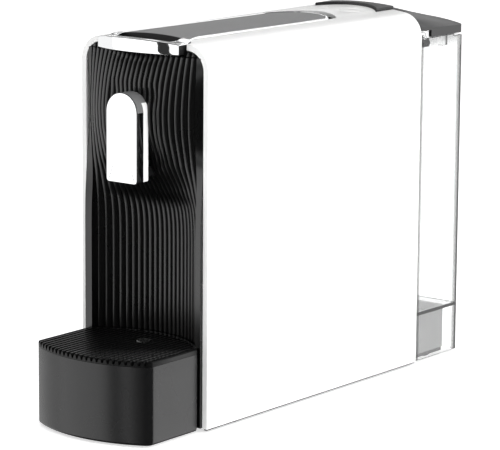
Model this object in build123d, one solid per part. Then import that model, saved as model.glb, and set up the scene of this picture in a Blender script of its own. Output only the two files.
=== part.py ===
from build123d import *
import math
import os

# ---------------------------------------------------------------------------
# Pod coffee machine, modelled as an assembly of separate pieces.
# Millimetres. +Z up, -Y is the front (cup side), +X the right-hand side.
# Origin: centre of the footprint, on the plane that the machine stands on.
# ---------------------------------------------------------------------------

# --- driving dimensions -----------------------------------------------------
BODY_W = 115.0        # casing width
BODY_L = 259.4        # casing length, front edge to rear edge
TRAY_REACH = 70.0     # tray front beyond the casing front edge
TANK_REAR = 321.3     # tank rear face behind the casing front edge
FOOT_H = 3.0          # height of the casing lower edge above the table
CROWN = 273.6         # top of the casing at its centre line, above its lower edge
CORNER_R = 18.0       # radius of the top long edges
CORNER_Z = 252.86     # height of the centre of that radius
SHELL_T = 3.0         # casing wall
FASCIA_HW = 53.1      # half width of the front fascia
RIM_HW = 53.4         # half width of the casing mouth
LEVER_HW = 29.5       # half width of the lever frame along its sides
LIP_HW = 36.5         # half width of the lever's front bar
LEVER_Z0 = 263.8      # underside of the lever's front bar
LEVER_RISE = 2.6      # lever crown above the casing crown behind the finger hole
LEVER_FALL = 0.436    # slope of the lever crown towards the rear, degrees
TRAY_HW = 52.0        # half width of the drip tray
TRAY_Z0, TRAY_Z1 = -1.5, 54.6
GRID_Z1 = 58.5
TANK_HW = 54.7
TANK_Y0 = 260.6
TANK_Z0, TANK_Z1 = -0.9, 250.5
TANK_FLOOR = 34.4
PIVOT_Y, PIVOT_Z = 172.0, 260.5      # lever hinge
ARM_Y, ARM_Z = 178.0, 236.0          # pull link pivot on the lever arm
HEAD_Y, HEAD_Z = 96.0, 196.0         # pull link pivot on the extraction head
LID_Y, LID_Z = 317.8, 254.3          # tank lid hinge
RUN = 0.1                            # running fit, radial

DEPTH = TRAY_REACH + TANK_REAR
F = TRAY_REACH - DEPTH / 2           # y of the casing front edge
B = FOOT_H                           # z of the casing lower edge

os.makedirs("parts", exist_ok=True)


# --- helpers ----------------------------------------------------------------
def pl_xz(y):
    return Plane(origin=(0, y, 0), x_dir=(1, 0, 0), z_dir=(0, -1, 0))


def pl_yz(x):
    return Plane(origin=(x, 0, 0), x_dir=(0, 1, 0), z_dir=(1, 0, 0))


def along_y(sk, y0, y1):
    """Prism of an x-z outline from y0 to y1, measured from the casing front."""
    return extrude(pl_xz(F + y1) * Pos(0, B) * sk, amount=y1 - y0)


def along_x(sk, x0, x1):
    """Prism of a y-z outline (y from the casing front, z from its lower edge)."""
    return extrude(pl_yz(x0) * Pos(F, B) * sk, amount=x1 - x0)


def along_z(sk, z0, z1):
    return extrude(Plane.XY.offset(B + z0) * Pos(0, F) * sk, amount=z1 - z0)


def box(x0, x1, y0, y1, z0, z1):
    return Pos((x0 + x1) / 2, F + (y0 + y1) / 2, B + (z0 + z1) / 2) * Box(x1 - x0, y1 - y0, z1 - z0)


def cyl_x(y, z, r, x0, x1):
    return along_x(Pos(y, z) * Circle(r), x0, x1)


def cyl_y(x, z, r, y0, y1):
    return along_y(Pos(x, z) * Circle(r), y0, y1)


def cyl_z(x, y, r, z0, z1):
    return along_z(Pos(x, y) * Circle(r), z0, z1)


def outline(*edges):
    return make_face(Wire(list(edges)))


def poly(*pts):
    return make_face(Polyline(*[(p[0], p[1]) for p in pts], close=True).edges())


def save(node, shape):
    if isinstance(shape, (list, ShapeList)):
        shape = Compound(children=list(shape))
    shape.label = node
    export_step(shape, "parts/%s.step" % node)
    n = len(shape.solids())
    print("%-20s solids %d volume %.1f" % (node, n, sum(s.volume for s in shape.solids())))
    return shape


def casing_profile(inset, z_bottom=0.0):
    """Arched cross-section of the casing, offset inwards by inset."""
    w = BODY_W / 2
    cx = w - CORNER_R
    drop = CROWN - CORNER_Z
    # crown radius that is tangent to both corner arcs
    rt = (cx * cx + drop * drop - CORNER_R * CORNER_R) / (2 * (drop - CORNER_R))
    r = CORNER_R - inset
    rc = rt - inset
    c0 = CROWN - rt
    ux, uz = cx / (rt - CORNER_R), (CORNER_Z - c0) / (rt - CORNER_R)
    tx, tz = rc * ux, c0 + rc * uz
    a = math.atan2(uz, ux) / 2
    mx, mz = cx + r * math.cos(a), CORNER_Z + r * math.sin(a)
    x = w - inset
    return outline(
        Line((-x, z_bottom), (x, z_bottom)),
        Line((x, z_bottom), (x, CORNER_Z)),
        ThreePointArc((x, CORNER_Z), (mx, mz), (tx, tz)),
        ThreePointArc((tx, tz), (0, CROWN - inset), (-tx, tz)),
        ThreePointArc((-tx, tz), (-mx, mz), (-x, CORNER_Z)),
        Line((-x, CORNER_Z), (-x, z_bottom)),
    )


def lever_plan(g=0.0, front=True):
    """Plan of the lever, grown by g. The front bar flares wider than the sides."""
    lw, ww = LIP_HW + g, LEVER_HW + g
    y_f = 26.0
    return outline(
        ThreePointArc((-lw, -6.5), (0, -14.0 - g), (lw, -6.5)),
        Line((lw, -6.5), (lw, 2.0)),
        Spline((lw, 2.0), (ww + 1.6, 11.0), (ww, y_f), tangents=((-0.2, 1.0), (0.0, 1.0))),
        Line((ww, y_f), (ww, 177.0)),
        ThreePointArc((ww, 177.0), (0, 195.0 + g), (-ww, 177.0)),
        Line((-ww, 177.0), (-ww, y_f)),
        Spline((-ww, y_f), (-ww - 1.6, 11.0), (-lw, 2.0), tangents=((0.0, -1.0), (-0.2, -1.0))),
        Line((-lw, 2.0), (-lw, -6.5)),
    )


def tube(points, radii, r_out, r_in):
    """Hose along straight runs joined by tangent arcs."""
    pts = [(p[0], F + p[1], B + p[2]) for p in points]
    path = FilletPolyline(*pts, radius=radii)
    pl = Plane(origin=pts[0], z_dir=Vector(*pts[1]) - Vector(*pts[0]))
    return sweep(pl * (Circle(r_out) - Circle(r_in)), path=path)


# --- casing -----------------------------------------------------------------
OUTER = along_y(casing_profile(0.0), 0, BODY_L)
shell = OUTER - along_y(casing_profile(SHELL_T, -5), 5, BODY_L + 1)
shell -= along_y(casing_profile(BODY_W / 2 - RIM_HW, -5), -1, 6)
# opening in the top for the lever, with room behind it for the swing
opening = along_z(outline(
    Line((-38.4, -2.0), (38.4, -2.0)),
    Line((38.4, -2.0), (38.4, 2.5)),
    Spline((38.4, 2.5), (32.2, 12.5), (30.6, 27.0), tangents=((-0.2, 1.0), (0.0, 1.0))),
    Line((30.6, 27.0), (30.6, 185.0)),
    ThreePointArc((30.6, 185.0), (0, 202.5), (-30.6, 185.0)),
    Line((-30.6, 185.0), (-30.6, 27.0)),
    Spline((-30.6, 27.0), (-32.2, 12.5), (-38.4, 2.5), tangents=((0.0, -1.0), (-0.2, -1.0))),
    Line((-38.4, 2.5), (-38.4, -2.0)),
), 257, 290)
shell -= opening
# grip recess for the tank lid's tongue
recess = along_z(outline(
    ThreePointArc((-30.5, 236.5), (0, 252.5), (30.5, 236.5)),
    Line((30.5, 236.5), (30.5, 262.0)),
    Line((30.5, 262.0), (-30.5, 262.0)),
    Line((-30.5, 262.0), (-30.5, 236.5)),
), 257, 290)
shell -= recess
BTN = [(-15.0, 225.0), (15.0, 225.0)]
BTN_R = 8.0
for bx, by in BTN:
    shell -= cyl_z(bx, by, BTN_R + 0.35, 255, 285)
GLAND_Y, GLAND_Z = 244.0, 14.0
shell -= cyl_x(GLAND_Y, GLAND_Z, 6.0, -60, -50)
for s in (-1, 1):
    for sy in (60.0, 235.0):                               # screw bosses on the side walls
        boss = cyl_z(s * 46.0, sy, 4.4, 2.6, 32) + box(min(s * 48, s * 55), max(s * 48, s * 55), sy - 1.4, sy + 1.4, 2.6, 32)
        shell += boss - cyl_z(s * 46.0, sy, 1.7, 0, 14)
save("outer_shell", shell)

base = box(-54.2, 54.2, 24, 255.8, -1.2, 2.5) + box(-56.5, 56.5, 24, 258.9, -1.2, 0)
base += box(53.9, 56.5, 1, 24.5, -1.2, 0) + box(-56.5, -53.9, 1, 24.5, -1.2, 0)
base += box(-47, 47, 258.5, 308, -1.2, 2)
SCREWS = [(-46.0, 60.0), (46.0, 60.0), (-46.0, 235.0), (46.0, 235.0)]
for sx, sy in SCREWS:
    base -= cyl_z(sx, sy, 3.4, -2, 0.6)
    base -= cyl_z(sx, sy, 1.75, -2, 4)
save("base_plate", base)

screws = []
for sx, sy in SCREWS:
    s = cyl_z(sx, sy, 3.2, -1.0, 0.6) + cyl_z(sx, sy, 1.7, 0.6, 12)
    s -= Pos(sx, F + sy, B - 1.0) * Box(3.6, 0.9, 1.6) + Pos(sx, F + sy, B - 1.0) * Box(0.9, 3.6, 1.6)
    screws.append(s)
save("base_screws", screws)

FEET = [(-46.0, 38.0), (46.0, 38.0), (-38.0, 292.0), (38.0, 292.0)]
save("rubber_feet", [cyl_z(x, y, 7.0, -FOOT_H, -1.2) for x, y in FEET])

rear = along_y(casing_profile(SHELL_T + 0.1, 2.6), 256.0, BODY_L)
rear -= box(-31.5, 31.5, 250, 262, 250, 280)
rear -= cyl_y(0, 9, 3.6, 250, 262)
save("rear_panel", rear)

gland = cyl_x(GLAND_Y, GLAND_Z, 5.9, -59.5 + 2.1, -50) + cyl_x(GLAND_Y, GLAND_Z, 7.5, -54.4, -52)
gland -= cyl_x(GLAND_Y, GLAND_Z, 3.4, -62, -45)
save("cord_gland", gland)

# --- inner structure --------------------------------------------------------
PX = 39.0
cheek = poly((46, 125), (200, 125), (205, 140), (205, 245), (181, 256), (178, 266.0), (166, 266.0), (163, 256), (46, 246))
chassis = along_x(cheek, 36, PX) + along_x(cheek, -PX, -36)
for s in (-1, 1):                                          # ledges that meet the casing walls
    for a, b, c, d in ((70, 82, 128, 132), (180, 192, 128, 132), (70, 82, 232, 236), (180, 192, 232, 236)):
        chassis += box(min(s * 38, s * 54.5), max(s * 38, s * 54.5), a, b, c, d)
chassis += box(-37, 37, 202, 205, 128, 248)                # rear tie
chassis += box(-37, 37, 150, 204, 125, 128)                # shelf under the heater
chassis += box(-37, 37, 48, 53, 160, 177)                  # front tie, carries the guide rods
chassis += box(-37, 37, 126, 150, 158, 163)                # seat of the capsule cage
chassis -= cyl_x(PIVOT_Y, PIVOT_Z, 2.5, -50, 50)
chassis -= box(-6, 6, 200, 207, 200, 212)                  # window for the water pipe
for s in (-1, 1):
    chassis -= cyl_y(s * 24.5, 168, 3.0, 40, 60)
save("chassis", chassis)
save("lever_pin", cyl_x(PIVOT_Y, PIVOT_Z, 2.5, -PX, PX))

deck = box(-36, 36, 14, 130, 250, 253)
deck += box(-36, 36, 14, 17, 244, 253)
deck -= box(-19, 19, 78, 106, 240, 260)
save("top_deck", deck)

funnel = box(-21, 21, 76, 108, 223, 250) - box(-19, 19, 78, 106, 220, 251)
save("capsule_funnel", funnel)

rods = [cyl_y(s * 24.5, 168, 3.0, 48, 148) for s in (-1, 1)]
save("guide_rods", rods)

cage = cyl_y(0, HEAD_Z, 22.0, 104.4, 148) - cyl_y(0, HEAD_Z, 16.5, 100, 133)
cage += box(-36, 36, 128, 150, 163, 186)
cage -= cyl_y(0, HEAD_Z, 16.5, 100, 133)
cage -= cyl_y(0, HEAD_Z, 2.5, 130, 160)
for s in (-1, 1):
    cage -= cyl_y(s * 24.5, 168, 3.0, 100, 148)
save("capsule_cage", cage)

pins = [cyl_y(x, z, 1.0, 129, 133) for x, z in ((0, HEAD_Z + 7), (6, HEAD_Z - 4), (-6, HEAD_Z - 4))]
save("piercing_pins", pins)

thermo = box(-22, 22, 152, 196, 168, 230)
for i in range(6):
    thermo -= box(-30, 30, 157 + i * 6.2, 160 + i * 6.2, 224, 240)
thermo -= cyl_y(0, 206, 3.2, 186, 200)
thermo += cyl_y(0, HEAD_Z, 2.4, 148.2, 153)
save("thermoblock", thermo)
save("thermoblock_stand", box(-20, 20, 155, 193, 128, 168) - box(-16, 16, 150, 200, 131, 165))

PUMP_X, PUMP_Z, PUMP_R = -18.0, 62.0, 19.0
pump = cyl_y(PUMP_X, PUMP_Z, PUMP_R, 150, 205) + cyl_y(PUMP_X, PUMP_Z, 9.0, 136, 219)
pump += cyl_y(PUMP_X, PUMP_Z, 3.2, 128, 226) + cyl_x(198, 62, 3.0, -4, 8)
save("pump", pump)
rings = [cyl_y(PUMP_X, PUMP_Z, 13.0, a, b) - cyl_y(PUMP_X, PUMP_Z, 9.0, a - 1, b + 1) for a, b in ((138, 146), (209, 217))]
save("pump_mounts", rings)
cradle = box(-36, 0, 137, 218, 2.5, 8)
for a, b in ((138, 146), (209, 217)):
    cradle += box(-36, 0, a, b, 2.5, 58)
cradle -= cyl_y(PUMP_X, PUMP_Z, 13.0, 130, 225)
cradle -= box(-28, -8, 130, 225, 12, 40)
save("pump_cradle", cradle)

meter = cyl_z(26, 232, 12.0, 30, 46) + cyl_z(26, 232, 4.0, 26, 50) + box(18, 34, 224, 240, 2.5, 26)
save("flow_meter", meter)

board = box(46.0, 47.6, 135, 240, 36, 112)
for a, b, c, d, t in ((145, 165, 40, 62, 12), (175, 187, 40, 60, 9), (196, 214, 70, 98, 7), (150, 182, 78, 96, 10), (222, 234, 40, 50, 8)):
    board += box(46.5 - t, 46.2, a, b, c, d)
board += box(47.4, 54.5, 138, 142, 40, 46) + box(47.4, 54.5, 232, 236, 40, 46) + box(47.4, 54.5, 138, 142, 102, 108)
save("control_board", board)

ub = box(-30, 30, 208, 240, 254.2, 255.8)
for bx, by in BTN:
    ub += box(bx - 3.2, bx + 3.2, by - 3.2, by + 3.2, 255.6, 256.9)
ub += box(-29, -26, 210, 213, 255.6, 271.0) + box(26, 29, 210, 213, 255.6, 271.0)
ub -= shell
save("button_board", ub)

# hoses and pipes
save("suction_hose", tube([(0, 285, 19.8), (0, 285, 9), (0, 250, 9), (26, 250, 9), (26, 250, 38), (26, 244.2, 38)], 5.0, 3.0, 1.6))
save("feed_hose", tube([(26, 219.8, 38), (26, 198, 38), (26, 198, 62), (8.2, 198, 62)], 7.0, 3.0, 1.6))
save("pressure_pipe", tube([(PUMP_X, 226.2, 62), (PUMP_X, 240, 62), (PUMP_X, 240, 206), (0, 240, 206), (0, 196.2, 206)], 8.0, 2.4, 1.2))

# --- lever ------------------------------------------------------------------
blank = along_z(lever_plan(), LEVER_Z0, 285)
CROWN_SOLID = along_y(casing_profile(0.0), -60, BODY_L + 60)


def raised(inset):
    """Arch of the lever behind the finger hole: proud of the casing, falling towards the rear."""
    sol = along_y(casing_profile(inset - LEVER_RISE), -60, BODY_L + 60)
    px, pz = F + 11.0, B + CROWN + LEVER_RISE
    sol = Pos(0, px, pz) * Rot(-LEVER_FALL, 0, 0) * Pos(0, -px, -pz) * sol
    return sol & along_x(poly((2.0, 200), (2.0, 270.5), (11.0, 279), (330, 279), (330, 200)), -60, 60)


blank = blank & (CROWN_SOLID + raised(0.0))
insert_plan = outline(
    ThreePointArc((-27.2, 10.0), (0, 11.5), (27.2, 10.0)),
    Line((27.2, 10.0), (27.2, 175.5)),
    ThreePointArc((27.2, 175.5), (0, 192.6), (-27.2, 175.5)),
    Line((-27.2, 175.5), (-27.2, 10.0)),
)
finger_plan = outline(
    ThreePointArc((-26.2, -3.6), (0, -7.4), (26.2, -3.6)),
    Line((26.2, -3.6), (27.2, 10.0)),
    ThreePointArc((27.2, 10.0), (0, 11.5), (-27.2, 10.0)),
    Line((-27.2, 10.0), (-26.2, -3.6)),
)
frame = blank - along_z(insert_plan, 255, 290) - along_z(finger_plan, 255, 290)
save("lever_frame", frame)
insert = along_z(insert_plan, LEVER_Z0 + 1.0, 285) & raised(0.35)
save("lever_insert", insert)
ARM_X0, ARM_X1 = 23.6, 26.8
arm = poly((138, 264.8), (168, 264.8), (168, 263.7), (178, 263.7), (179, 254), (184.5, 238), (181.5, 231), (174, 231), (169, 240), (165, 255.5), (138, 260))
arms = []
for s in (-1, 1):
    a = along_x(arm, min(s * ARM_X0, s * ARM_X1), max(s * ARM_X0, s * ARM_X1))
    a -= cyl_x(PIVOT_Y, PIVOT_Z, 2.5 + RUN, -50, 50)
    a += cyl_x(ARM_Y, ARM_Z, 3.0, min(s * ARM_X1, s * 31.4), max(s * ARM_X1, s * 31.4))
    arms.append(a)
bridge = box(-23.8, 23.8, 138, 144, 260.5, 264.8)
arms_all = arms[0] + arms[1] + bridge
save("lever_arms", arms_all)

# --- pull links -------------------------------------------------------------
ang = math.degrees(math.atan2(ARM_Z - HEAD_Z, ARM_Y - HEAD_Y))
ln = math.hypot(ARM_Z - HEAD_Z, ARM_Y - HEAD_Y)
bar = Pos((ARM_Y + HEAD_Y) / 2, (ARM_Z + HEAD_Z) / 2) * Rot(0, 0, ang) * SlotCenterToCenter(ln, 13.0)
bar -= Pos(ARM_Y, ARM_Z) * Circle(3.0 + RUN)
bar -= Pos(HEAD_Y, HEAD_Z) * Circle(3.4)
links = [along_x(bar, 28.6, 31.0), along_x(bar, -31.0, -28.6)]
save("pull_links", links)

# --- extraction head --------------------------------------------------------
head = box(-22, 22, 88, 103.9, 173, 219)
head += box(-28, 28, 88, 103.9, 160.5, 176)
for s in (-1, 1):
    head -= cyl_y(s * 24.5, 168, 3.0 + RUN, 80, 110)
    head += cyl_x(HEAD_Y, HEAD_Z, 3.0, min(s * 21.5, s * 28.2), max(s * 21.5, s * 28.2))
head -= cyl_y(0, HEAD_Z, 15.0, 101, 110)
head -= cyl_y(0, 188, 2.6, 80, 110)
save("extraction_head", head)
plate = cyl_y(0, HEAD_Z, 15.0, 101, 103.6)
for i in range(-2, 3):
    for j in range(-2, 3):
        if i * i + j * j < 7:
            plate -= cyl_y(i * 4.6, HEAD_Z + j * 4.6, 1.0, 100, 105)
save("extraction_plate", plate)
outlet = cyl_y(0, 188, 5.0, 34, 88) - cyl_y(0, 188, 2.6, 30, 90)
save("outlet_tube", outlet)

# --- service unit: fascia, spout, capsule bin --------------------------------
T_TAB = [(2, 0), (60, 0), (100, 0), (125, 0), (138, .01), (148, .05), (156, .13), (163, .27), (170, .40), (179, .60),
         (187, .77), (199, .93), (210, 1.03), (222, 1.06), (241, .97), (253, .85), (262, .72), (272, .60)]


def fascia_y(x, t):
    u = x / 53.0
    yt = -15.0 + 13.46 * u * u + 3.17 * u ** 4
    yb = 20.5 - 17.96 * u * u - 5.37 * u ** 4
    return yb + t * (yt - yb)


def bulge(z):
    """Share of the way from the hollow lower outline to the bulged upper one."""
    n = len(T_TAB)
    k = 0
    while k < n - 2 and z > T_TAB[k + 1][0]:
        k += 1
    (z0, t0), (z1, t1) = T_TAB[k], T_TAB[k + 1]

    def slope(i):
        if i <= 0 or i >= n - 1:
            return 0.0
        a = (T_TAB[i][1] - T_TAB[i - 1][1]) / (T_TAB[i][0] - T_TAB[i - 1][0])
        b = (T_TAB[i + 1][1] - T_TAB[i][1]) / (T_TAB[i + 1][0] - T_TAB[i][0])
        return 0.0 if a * b <= 0 else 2 * a * b / (a + b)

    h = z1 - z0
    u = (z - z0) / h
    return ((1 + 2 * u) * (1 - u) ** 2 * t0 + u * (1 - u) ** 2 * h * slope(k)
            + u * u * (3 - 2 * u) * t1 + u * u * (u - 1) * h * slope(k + 1))


grid_pts = []
for i in range(13):
    x = -54.0 + 9.0 * i
    grid_pts.append([Vector(x, F + fascia_y(x, bulge(-0.5 + 7.6 * j)), B - 0.5 + 7.6 * j) for j in range(37)])
skin = Face.make_surface_from_array_of_points(grid_pts)
fascia = extrude(skin, amount=2.6, dir=(0, 1, 0))
mouth = casing_profile(BODY_W / 2 - FASCIA_HW, 0.4)
fascia = fascia & along_y(mouth, -60, 60)
shoulders = fascia & box(-60, 60, -60, 60, 262.95, 290)
shoulders -= box(-37.8, 37.8, -60, 60, 255, 290)
fascia -= box(-60, 60, -60, 60, 262.9, 290)
fascia -= box(-8.8, 8.8, -40, 40, 176.2, 186.2)
hooks = box(10, 16, 21, 28, 20, 60) + box(-16, -10, 21, 28, 20, 60)
fascia -= hooks
spout_sk = outline(
    Line((-14, 173), (14, 173)),
    Line((14, 173), (14, 222.5)),
    ThreePointArc((14, 222.5), (0, 236.5), (-14, 222.5)),
    Line((-14, 222.5), (-14, 173)),
)
spout_in = outline(
    Line((-11.6, 175.4), (11.6, 175.4)),
    Line((11.6, 175.4), (11.6, 222.5)),
    ThreePointArc((11.6, 222.5), (0, 234.1), (-11.6, 222.5)),
    Line((-11.6, 222.5), (-11.6, 175.4)),
)
cover = along_y(spout_sk, -24.3, -10.8) - along_y(spout_in, -21.9, -8)
cover -= cyl_z(0, -14.5, 6.0, 170, 177)
behind = extrude(skin, amount=60, dir=(0, 1, 0))
cover -= behind
fascia -= along_y(spout_sk, -30, -24.4)
cover = max(cover.solids(), key=lambda s: s.volume)
save("spout_cover", cover)
save("front_fascia", max(fascia.solids(), key=lambda s: s.volume))
save("fascia_shoulders", [q for q in shoulders.solids() if q.volume > 5])

nozzle = box(-8.8, 8.8, -19.5, 46, 176.2, 183) - box(-6.4, 6.4, -30, 44, 178.4, 190)
nozzle += cyl_z(0, -14.5, 5.4, 173.4, 178.4)
nozzle -= cyl_z(0, -14.5, 3.0, 170, 190)
nozzle += box(-8.8, 8.8, -19.5, -17.6, 176.2, 183)
save("coffee_nozzle", nozzle)

bin_ = box(-40, 40, 27, 112, 4, 118) - box(-38, 38, 29, 110, 6, 130)
bin_ += hooks - box(-60, 60, 27, 60, 0, 200)
save("capsule_bin", bin_)

# --- drip tray --------------------------------------------------------------
def tray_plan(g):
    w = TRAY_HW + g
    r = 7.0
    # front arc radius about 100, rear arc radius about 72, following the fascia
    sk = outline(
        ThreePointArc((-w, -55.5), (0, -TRAY_REACH - g), (w, -55.5)),
        Line((w, -55.5), (w, -4.4 + g)),
        ThreePointArc((w, -4.4 + g), (0, 18.8 + g), (-w, -4.4 + g)),
        Line((-w, -4.4 + g), (-w, -55.5)),
    )
    vs = sk.vertices().sort_by(Axis.Y)[:2]
    return fillet(vs, r + g)


tray = along_z(tray_plan(0), TRAY_Z0, TRAY_Z1) - along_z(tray_plan(-2.2), TRAY_Z0 + 2.2, TRAY_Z1 + 5)
save("drip_tray", tray)
save("tray_feet", [cyl_z(x, y, 5.0, -FOOT_H, TRAY_Z0) for x, y in ((-34, -42), (34, -42), (0, 2))])

FLOAT_X, FLOAT_Y = 6.3, -8.5
grid = along_z(tray_plan(0), TRAY_Z1 + 0.05, GRID_Z1)
PITCH = 4.2775
slots = []
inner = tray_plan(-4.5)
for i in range(-11, 12):
    cx = i * PITCH
    slots.append(box(cx - 1.0, cx + 1.0, -80, 40, 50, 62))
slot_all = slots[0]
for s in slots[1:]:
    slot_all = slot_all + s
slot_all = slot_all & along_z(inner, 50, 62)
slot_all -= cyl_z(FLOAT_X, FLOAT_Y, 7.1, 45, 66)
grid = grid - slot_all
grid -= cyl_z(FLOAT_X, FLOAT_Y, 5.4, 50, 62)
save("cup_grid", grid)
fl = cyl_z(FLOAT_X, FLOAT_Y, 5.0, 52, 59.4) + cyl_z(FLOAT_X, FLOAT_Y, 9.0, 32, 52) + cyl_z(FLOAT_X, FLOAT_Y, 2.5, 1.2, 33)
save("float_indicator", fl)

# --- tank seat and pedestal -------------------------------------------------
ped = box(-48, 48, 263.6, 308, 2, 34.2) - box(-45, 45, 266.6, 305, 1, 31.2)
ped -= cyl_z(0, 285, 12.2, 28, 40)
ped -= box(-4.5, 4.5, 255, 268, 2, 14)
save("tank_pedestal", ped)
seat = cyl_z(0, 285, 12.0, 22, 33.0) - cyl_z(0, 285, 3.2, 18, 40) + cyl_z(0, 285, 6.0, 20, 22.1)
seat -= cyl_z(0, 285, 3.05, 18, 40)
save("tank_seat", seat)
save("seat_seal", cyl_z(0, 285, 10.5, 33.0, 34.2) - cyl_z(0, 285, 7.5, 30, 36))

# --- water tank -------------------------------------------------------------
def tank_plan(g):
    y0, y1 = TANK_Y0 - g, TANK_REAR + g
    sk = Pos(0, (y0 + y1) / 2) * Rectangle(2 * (TANK_HW + g), y1 - y0)
    vs = sk.vertices().sort_by(Axis.Y)
    sk = fillet(vs[2:], 3.5 + g)
    vs = sk.vertices().sort_by(Axis.Y)[:2]
    return fillet(vs, 3.5 + g)


tank = along_z(tank_plan(0), TANK_Z0, TANK_Z1)
tank -= along_z(tank_plan(-2.6), TANK_FLOOR + 2.6, TANK_Z1 + 5)
tank -= along_z(tank_plan(-2.6), TANK_Z0 - 1, TANK_FLOOR)
tank -= box(-60, 60, 308.5, 330, 249.0, 260)                # relief under the lid hinge
tank -= box(-50, 50, 255, 264, -5, TANK_FLOOR)              # open front of the skirt, over the pedestal
tank -= cyl_z(0, 285, 7.0, 30, 40)                          # valve bore
for s in (-1, 1):                                           # hinge ears inside the rear wall
    ear = along_x(poly((311.8, 240), (318.8, 240), (320.2, 249), (320.2, 255), (318.5, 257), (316, 257), (313.8, 255), (311.8, 246)), min(s * 36, s * 40), max(s * 36, s * 40))
    tank += ear
tank -= cyl_x(LID_Y, LID_Z, 1.5, -50, 50)
save("water_tank", tank)

catches = []
for s in (-1, 1):
    c = along_x(poly((264.5, 244), (275.5, 244), (277.0, 247), (272, 255.2), (267.5, 255.2), (264.5, 250)), min(s * 49.6, s * 52.1), max(s * 49.6, s * 52.1))
    c -= cyl_x(270.0, 251.3, 1.6, -60, 60)
    catches.append(c)
save("lid_catches", catches)

vc = cyl_z(0, 285, 9.6, TANK_FLOOR + 2.6, 48.5) - cyl_z(0, 285, 7.4, 30, 47.0)
for k in range(3):
    a = math.radians(120 * k + 90)
    vc -= Pos(9 * math.cos(a), F + 285 + 9 * math.sin(a), B + 41) * Rot(0, 0, 120 * k + 90) * Box(6, 5, 4)
vc -= cyl_z(0, 285, 2.0, 40, 50)
save("valve_cage", vc)
poppet = cyl_z(0, 285, 6.8, 37.4, 39.4) + cyl_z(0, 285, 1.8, 34.9, 49.8)
save("valve_poppet", poppet)
hel = Helix(pitch=1.5, height=4.2, radius=4.2)
spring = sweep(Plane(origin=hel @ 0, z_dir=hel % 0) * Circle(0.35), path=hel, is_frenet=True)
save("valve_spring", Pos(0, F + 285, B + 39.9) * spring)

# --- tank lid ---------------------------------------------------------------
def arch(x, inset):
    """Height of the casing's arched top, offset inwards, at x."""
    cx, drop = BODY_W / 2 - CORNER_R, CROWN - CORNER_Z
    rt = (cx * cx + drop * drop - CORNER_R * CORNER_R) / (2 * (drop - CORNER_R))
    ax, rc, r = abs(x), rt - inset, CORNER_R - inset
    if ax <= rc * cx / (rt - CORNER_R):
        return CROWN - rt + math.sqrt(rc * rc - ax * ax)
    return CORNER_Z + math.sqrt(max(r * r - min(max(ax - cx, 0.0), r * 0.985) ** 2, 0.0))


def lid_top(drop):
    """Solid under the domed top: the casing's arch at the front, a low crown at the rear."""
    rows = []
    for i in range(33):
        x = -56.0 + 3.5 * i
        row = []
        for k in range(9):
            y = 258.0 + 8.25 * k
            v = min(max((y - 261.0) / 60.3, 0.0), 1.15)
            crest = 274.6 - 12.6 * v ** 0.9 if v > 0 else 274.6
            side = 255.5 + 1.2 * v
            n = 5.5 - 3.0 * v
            z = side + (crest - side) * (1 - min(abs(x) / 56.0, 1.0) ** n)
            front = arch(x, 0.5) + (1.4 if abs(x) < 28 else 0.0)
            w = max(0.0, 1 - v / 0.3) ** 1.5
            z = w * min(z, front) + (1 - w) * z
            row.append(Vector(x, F + y, B + z - drop))
        rows.append(row)
    top = Face.make_surface_from_array_of_points(rows)
    return extrude(top, amount=60, dir=(0, 0, -1))


def lid_plan(g):
    return along_z(tank_plan(-0.5 - g), 251.0 - (5 if g > 0 else 0), 290)


lid = lid_top(0.0) & lid_plan(0.0)
lid -= lid_top(2.6) & lid_plan(2.6)
lid = lid & box(-60, 60, 261.0, 330, 240, 300)
tongue = along_z(outline(
    ThreePointArc((-29.0, 240.4), (0, 253.8), (29.0, 240.4)),
    Line((29.0, 240.4), (29.0, 262.2)),
    Line((29.0, 262.2), (-29.0, 262.2)),
    Line((-29.0, 262.2), (-29.0, 240.4)),
), 266.6, 290) & along_y(casing_profile(-2.2), -60, BODY_L + 60)
lid += tongue
for s in (-1, 1):
    lid -= box(min(s * 49.2, s * 60), max(s * 49.2, s * 60), 255, 277.5, 245, 256.6)
    lid -= box(min(s * 34.5, s * 41.5), max(s * 34.5, s * 41.5), 309, 322, 245, 258.6)
    lid += cyl_x(LID_Y, LID_Z, 2.6, min(s * 41.5, s * 47), max(s * 41.5, s * 47))
lid -= cyl_x(LID_Y, LID_Z, 1.5 + RUN, -48, 48)
lid = max(lid.solids(), key=lambda q: q.volume)
save("tank_lid", lid)
save("lid_pin", [cyl_x(LID_Y, LID_Z, 1.5, min(s * 35.8, s * 46.5), max(s * 35.8, s * 46.5)) for s in (-1, 1)])

# --- buttons ----------------------------------------------------------------
for name, (bx, by) in zip(("button_small_cup", "button_large_cup"), BTN):
    b = cyl_z(bx, by, BTN_R, 262.5, 285) & CROWN_SOLID
    b += cyl_z(bx, by, 2.4, 258.6, 263)
    save(name, b)
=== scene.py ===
import math

import bpy
import bmesh
import numpy as np
from mathutils import Matrix, Vector


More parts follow.
